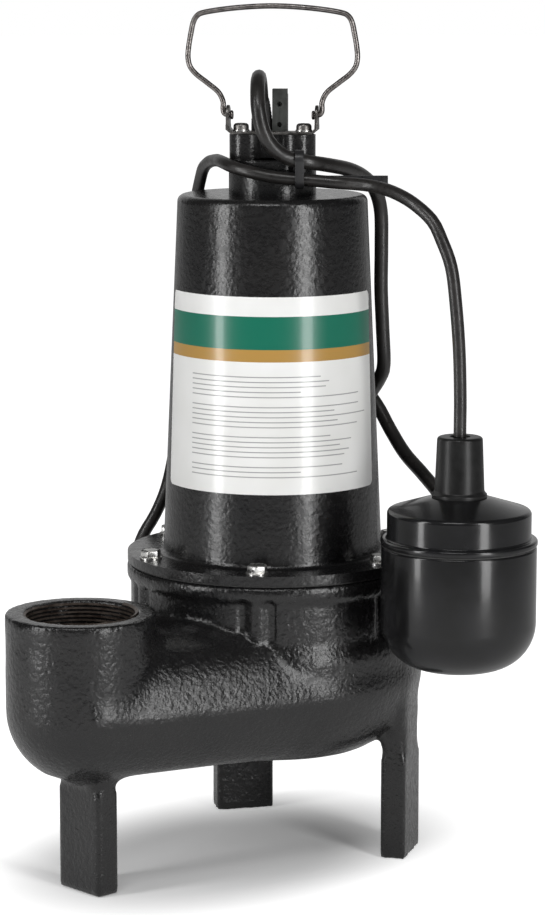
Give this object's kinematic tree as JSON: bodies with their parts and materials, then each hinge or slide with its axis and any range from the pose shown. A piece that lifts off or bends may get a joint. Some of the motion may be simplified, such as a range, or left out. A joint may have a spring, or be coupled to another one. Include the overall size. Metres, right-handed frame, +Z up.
{
  "type": "submersible sump pump",
  "caption": "Submersible pump with a cast casing on three legs, a threaded upright outlet, a bail handle and a tethered float switch on its cord.",
  "frame": {"origin": "middle of the footprint of the pump with its float, on the floor under the feet", "axes": "+Z up along the motor's axis, and the outlet lies towards -X"},
  "size_m": [0.2976, 0.3132, 0.4703],
  "materials": {
    "cast_black": "semi-gloss black paint over a sand-cast surface",
    "gasket_rubber": "matte moulded rubber",
    "zinc_steel": "zinc plated steel",
    "strap_steel": "stamped stainless strip",
    "wire_steel": "drawn stainless wire",
    "lamination_steel": "stacked electrical steel",
    "copper_wire": "varnished copper windings",
    "cast_aluminium": "die cast aluminium",
    "bearing_steel": "ground and polished bearing steel",
    "cage_brass": "pressed brass",
    "seal_ceramic": "lapped ceramic",
    "seal_carbon": "carbon",
    "impeller_plastic": "glass filled moulded plastic",
    "protector_plastic": "phenolic moulding",
    "gland_rubber": "moulded rubber",
    "clamp_plastic": "moulded nylon",
    "tie_nylon": "black nylon",
    "cord_jacket": "black rubber jacket",
    "plug_plastic": "moulded black vinyl",
    "plug_brass": "brass blades",
    "float_plastic": "glossy black moulded plastic",
    "tube_plastic": "moulded plastic tube"
  },
  "bodies": {
    "pump": {"volute_casing": "cast_black", "casing_gasket": "gasket_rubber", "seal_plate": "cast_black", "seal_plate_o_ring": "gasket_rubber", "motor_housing": "cast_black", "flange_screws": "zinc_steel", "flange_washers": "zinc_steel", "stator_core": "lamination_steel", "stator_windings": "copper_wire", "bearing_bracket": "cast_aluminium", "bracket_snap_ring": "zinc_steel", "upper_bearing_outer_race": "bearing_steel", "lower_bearing_outer_race": "bearing_steel", "seal_seat": "seal_ceramic", "run_capacitor": "cast_aluminium", "capacitor_clip": "zinc_steel", "overload_protector": "protector_plastic", "top_cap": "cast_black", "cap_gasket": "gasket_rubber", "cap_screws": "zinc_steel", "cap_screw_washers": "zinc_steel", "handle_strap": "strap_steel", "cord_gland": "gland_rubber", "cord_clamp": "clamp_plastic", "cable_tie": "tie_nylon", "power_cord": "cord_jacket", "power_cord_coil": "cord_jacket", "power_cord_tail": "cord_jacket", "power_plug": "plug_plastic", "power_plug_blades": "plug_brass", "coil_ties": "tie_nylon", "float_cord_run": "cord_jacket", "float_cord_coil": "cord_jacket", "float_cord_tail": "cord_jacket", "piggyback_plug": "plug_plastic", "piggyback_plug_blades": "plug_brass"},
    "rotor": {"motor_shaft": "bearing_steel", "rotor_core": "lamination_steel", "rotor_end_rings": "cast_aluminium", "upper_bearing_inner_race": "bearing_steel", "lower_bearing_inner_race": "bearing_steel", "seal_ring": "seal_carbon", "seal_spring": "wire_steel", "impeller": "impeller_plastic", "impeller_washer": "zinc_steel", "impeller_nut": "zinc_steel"},
    "upper_ball_set": {"upper_bearing_balls": "bearing_steel", "upper_bearing_cage": "cage_brass"},
    "lower_ball_set": {"lower_bearing_balls": "bearing_steel", "lower_bearing_cage": "cage_brass"},
    "bail": {"bail_handle": "wire_steel"},
    "float": {"float_shell": "float_plastic", "float_cap": "float_plastic", "float_gasket": "gasket_rubber", "float_boot": "gland_rubber", "float_cord_free": "cord_jacket", "switch_tube": "tube_plastic"},
    "rolling_ball": {"switch_ball": "bearing_steel"}
  },
  "joints": [
    {"name": "rotor_spin", "type": "hinge", "parent": "pump", "child": "rotor", "pos_m": [0.0491, 0.04313, 0.25], "axis": [0, 0, 1], "continuous": true},
    {"name": "upper_ball_roll", "type": "hinge", "parent": "pump", "child": "upper_ball_set", "pos_m": [0.0491, 0.04313, 0.315], "axis": [0, 0, 1], "continuous": true},
    {"name": "lower_ball_roll", "type": "hinge", "parent": "pump", "child": "lower_ball_set", "pos_m": [0.0491, 0.04313, 0.1735], "axis": [0, 0, 1], "continuous": true},
    {"name": "bail_swing", "type": "hinge", "parent": "pump", "child": "bail", "pos_m": [0.0491, 0.04313, 0.4098], "axis": [0.6428, -0.766, 0], "range_deg": [-90, 90]},
    {"name": "float_swing", "type": "hinge", "parent": "pump", "child": "float", "pos_m": [0.0525, -0.00559, 0.375], "axis": [-0.9848, -0.1735, 0], "range_deg": [0, 75]},
    {"name": "ball_roll", "type": "slide", "parent": "float", "child": "rolling_ball", "axis": [0, 0, 1], "range_m": [0, 0.0255]}
  ],
  "couplings": [
    {"joint": "upper_ball_roll", "follows": "rotor_spin", "ratio": 0.36364},
    {"joint": "lower_ball_roll", "follows": "rotor_spin", "ratio": 0.38}
  ]
}
